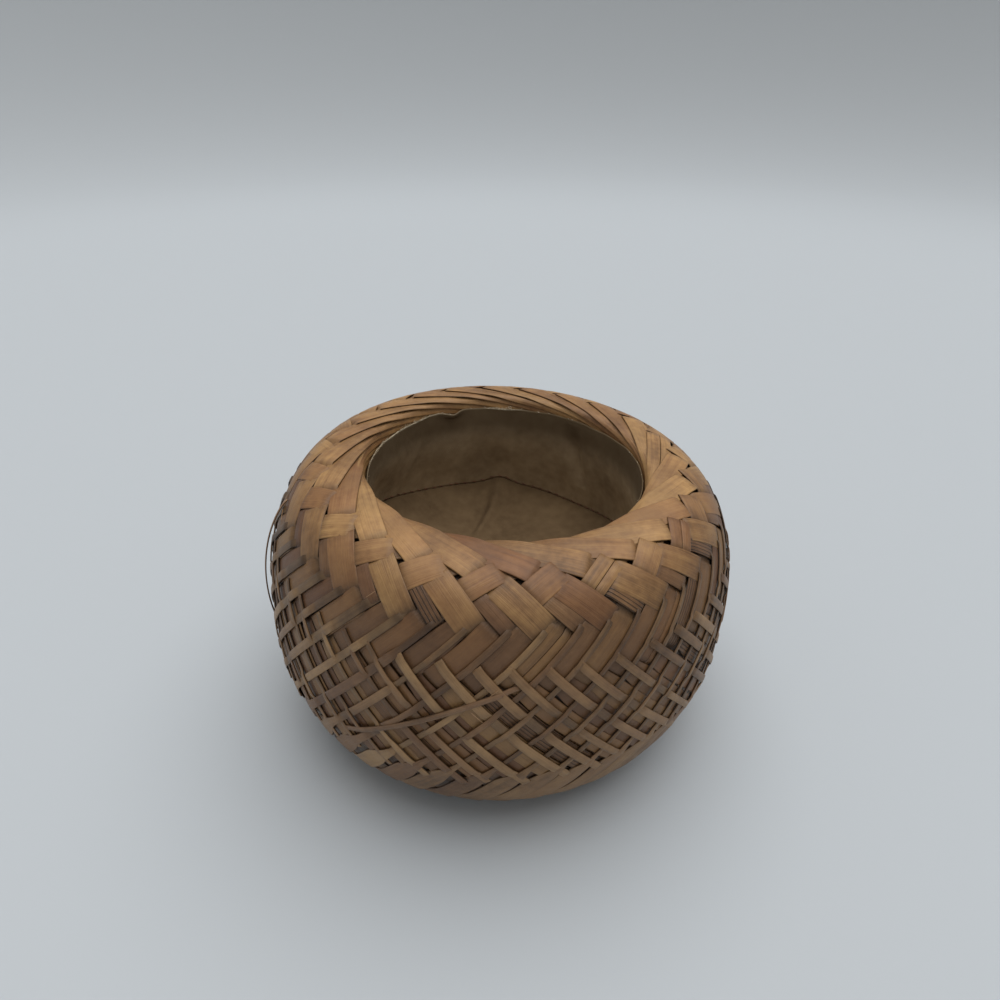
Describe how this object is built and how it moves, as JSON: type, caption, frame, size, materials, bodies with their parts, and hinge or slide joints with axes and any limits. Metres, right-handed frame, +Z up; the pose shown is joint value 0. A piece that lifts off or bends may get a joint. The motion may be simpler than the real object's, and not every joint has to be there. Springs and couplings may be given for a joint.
{
  "type": "woven basket bowl",
  "caption": "Squat round basket bowl plaited from flat split-wood strips, with a spiral folded rim, a narrow lattice round the belly and a cloth lining.",
  "frame": {"origin": "middle of the footprint, on the surface it stands on", "axes": "+Z up through the mouth; the pictured side faces -Y"},
  "size_m": [0.18, 0.18, 0.106],
  "materials": {
    "splint_wood": "flat split wood, tan, satin, fine grain along the strip",
    "companion_wood": "flat split wood, darker brown, matt",
    "lattice_wood": "narrow rounded wood strips, tan, satin",
    "inner_wood": "fine dark woven strips, matt",
    "hoop_wood": "round rod, matt",
    "lining_cloth": "plain olive-brown cloth, matt, raw cut edge"
  },
  "bodies": {
    "root": {"right_splint_01": "splint_wood", "right_splint_02": "splint_wood", "right_splint_03": "splint_wood", "right_splint_04": "splint_wood", "right_splint_05": "splint_wood", "right_splint_06": "splint_wood", "right_splint_07": "splint_wood", "right_splint_08": "splint_wood", "right_splint_09": "splint_wood", "right_splint_10": "splint_wood", "right_splint_11": "splint_wood", "right_splint_12": "splint_wood", "right_splint_13": "splint_wood", "right_splint_14": "splint_wood", "right_splint_15": "splint_wood", "right_splint_16": "splint_wood", "right_splint_17": "splint_wood", "right_splint_18": "splint_wood", "right_splint_19": "splint_wood", "right_splint_20": "splint_wood", "right_splint_21": "splint_wood", "right_splint_22": "splint_wood", "right_splint_23": "splint_wood", "right_splint_24": "splint_wood", "left_splint_01": "splint_wood", "left_splint_02": "splint_wood", "left_splint_03": "splint_wood", "left_splint_04": "splint_wood", "left_splint_05": "splint_wood", "left_splint_06": "splint_wood", "left_splint_07": "splint_wood", "left_splint_08": "splint_wood", "left_splint_09": "splint_wood", "left_splint_10": "splint_wood", "left_splint_11": "splint_wood", "left_splint_12": "splint_wood", "left_splint_13": "splint_wood", "left_splint_14": "splint_wood", "left_splint_15": "splint_wood", "left_splint_16": "splint_wood", "left_splint_17": "splint_wood", "left_splint_18": "splint_wood", "left_splint_19": "splint_wood", "left_splint_20": "splint_wood", "left_splint_21": "splint_wood", "left_splint_22": "splint_wood", "left_splint_23": "splint_wood", "left_splint_24": "splint_wood", "right_companion_strips": "companion_wood", "left_companion_strips": "companion_wood", "lattice_left_strips": "lattice_wood", "lattice_right_strips": "lattice_wood", "inner_basket_bottom": "inner_wood", "inner_basket_wall": "inner_wood", "inner_basket_shoulder": "inner_wood", "rim_hoop": "hoop_wood", "base_splints_lengthwise": "splint_wood", "base_splints_crosswise": "splint_wood", "lining_wall": "lining_cloth", "lining_floor": "lining_cloth"}
  },
  "joints": []
}
